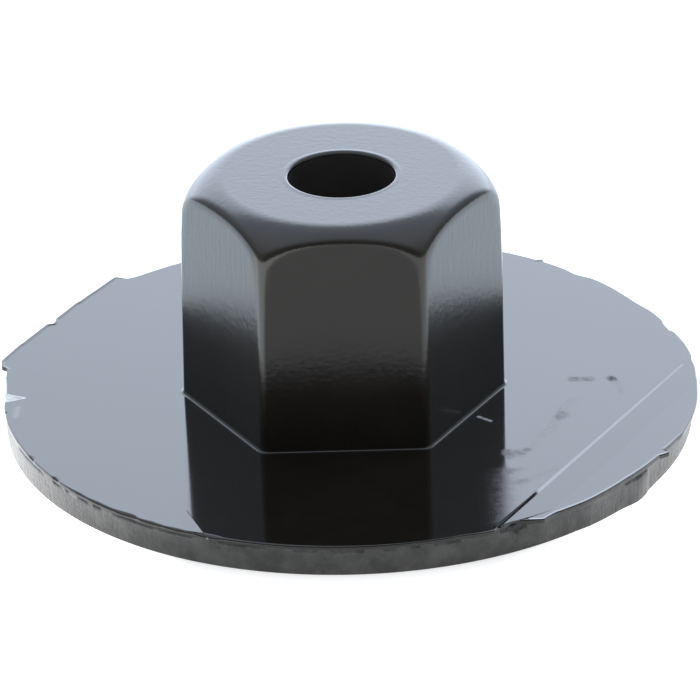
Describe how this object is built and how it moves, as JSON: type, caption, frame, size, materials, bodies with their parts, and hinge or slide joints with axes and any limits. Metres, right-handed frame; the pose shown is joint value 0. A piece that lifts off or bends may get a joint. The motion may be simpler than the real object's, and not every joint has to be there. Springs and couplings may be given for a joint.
{
  "type": "flange nut",
  "caption": "One-piece moulded plastic nut: a domed hexagon on a thin round washer flange, with a plain bore that is pressed or turned onto a stud.",
  "frame": {"origin": "centre of the bore on the flange's underside, the seat that lies against what the nut holds", "axes": "+Z along the bore from the seat to the hexagon's domed top; -Y is the front, square to one flat of the hexagon; +X is to the right"},
  "size_m": [0.0249, 0.0244, 0.0095],
  "materials": {
    "black_plastic": "Moulded black plastic: the flange's top is polished like a mirror, the hexagon is glossy with a soft sheen, the trimmed rim is matt, and the flange has a few faint scuffs."
  },
  "bodies": {
    "root": {"flange_nut": "black_plastic"}
  },
  "joints": []
}
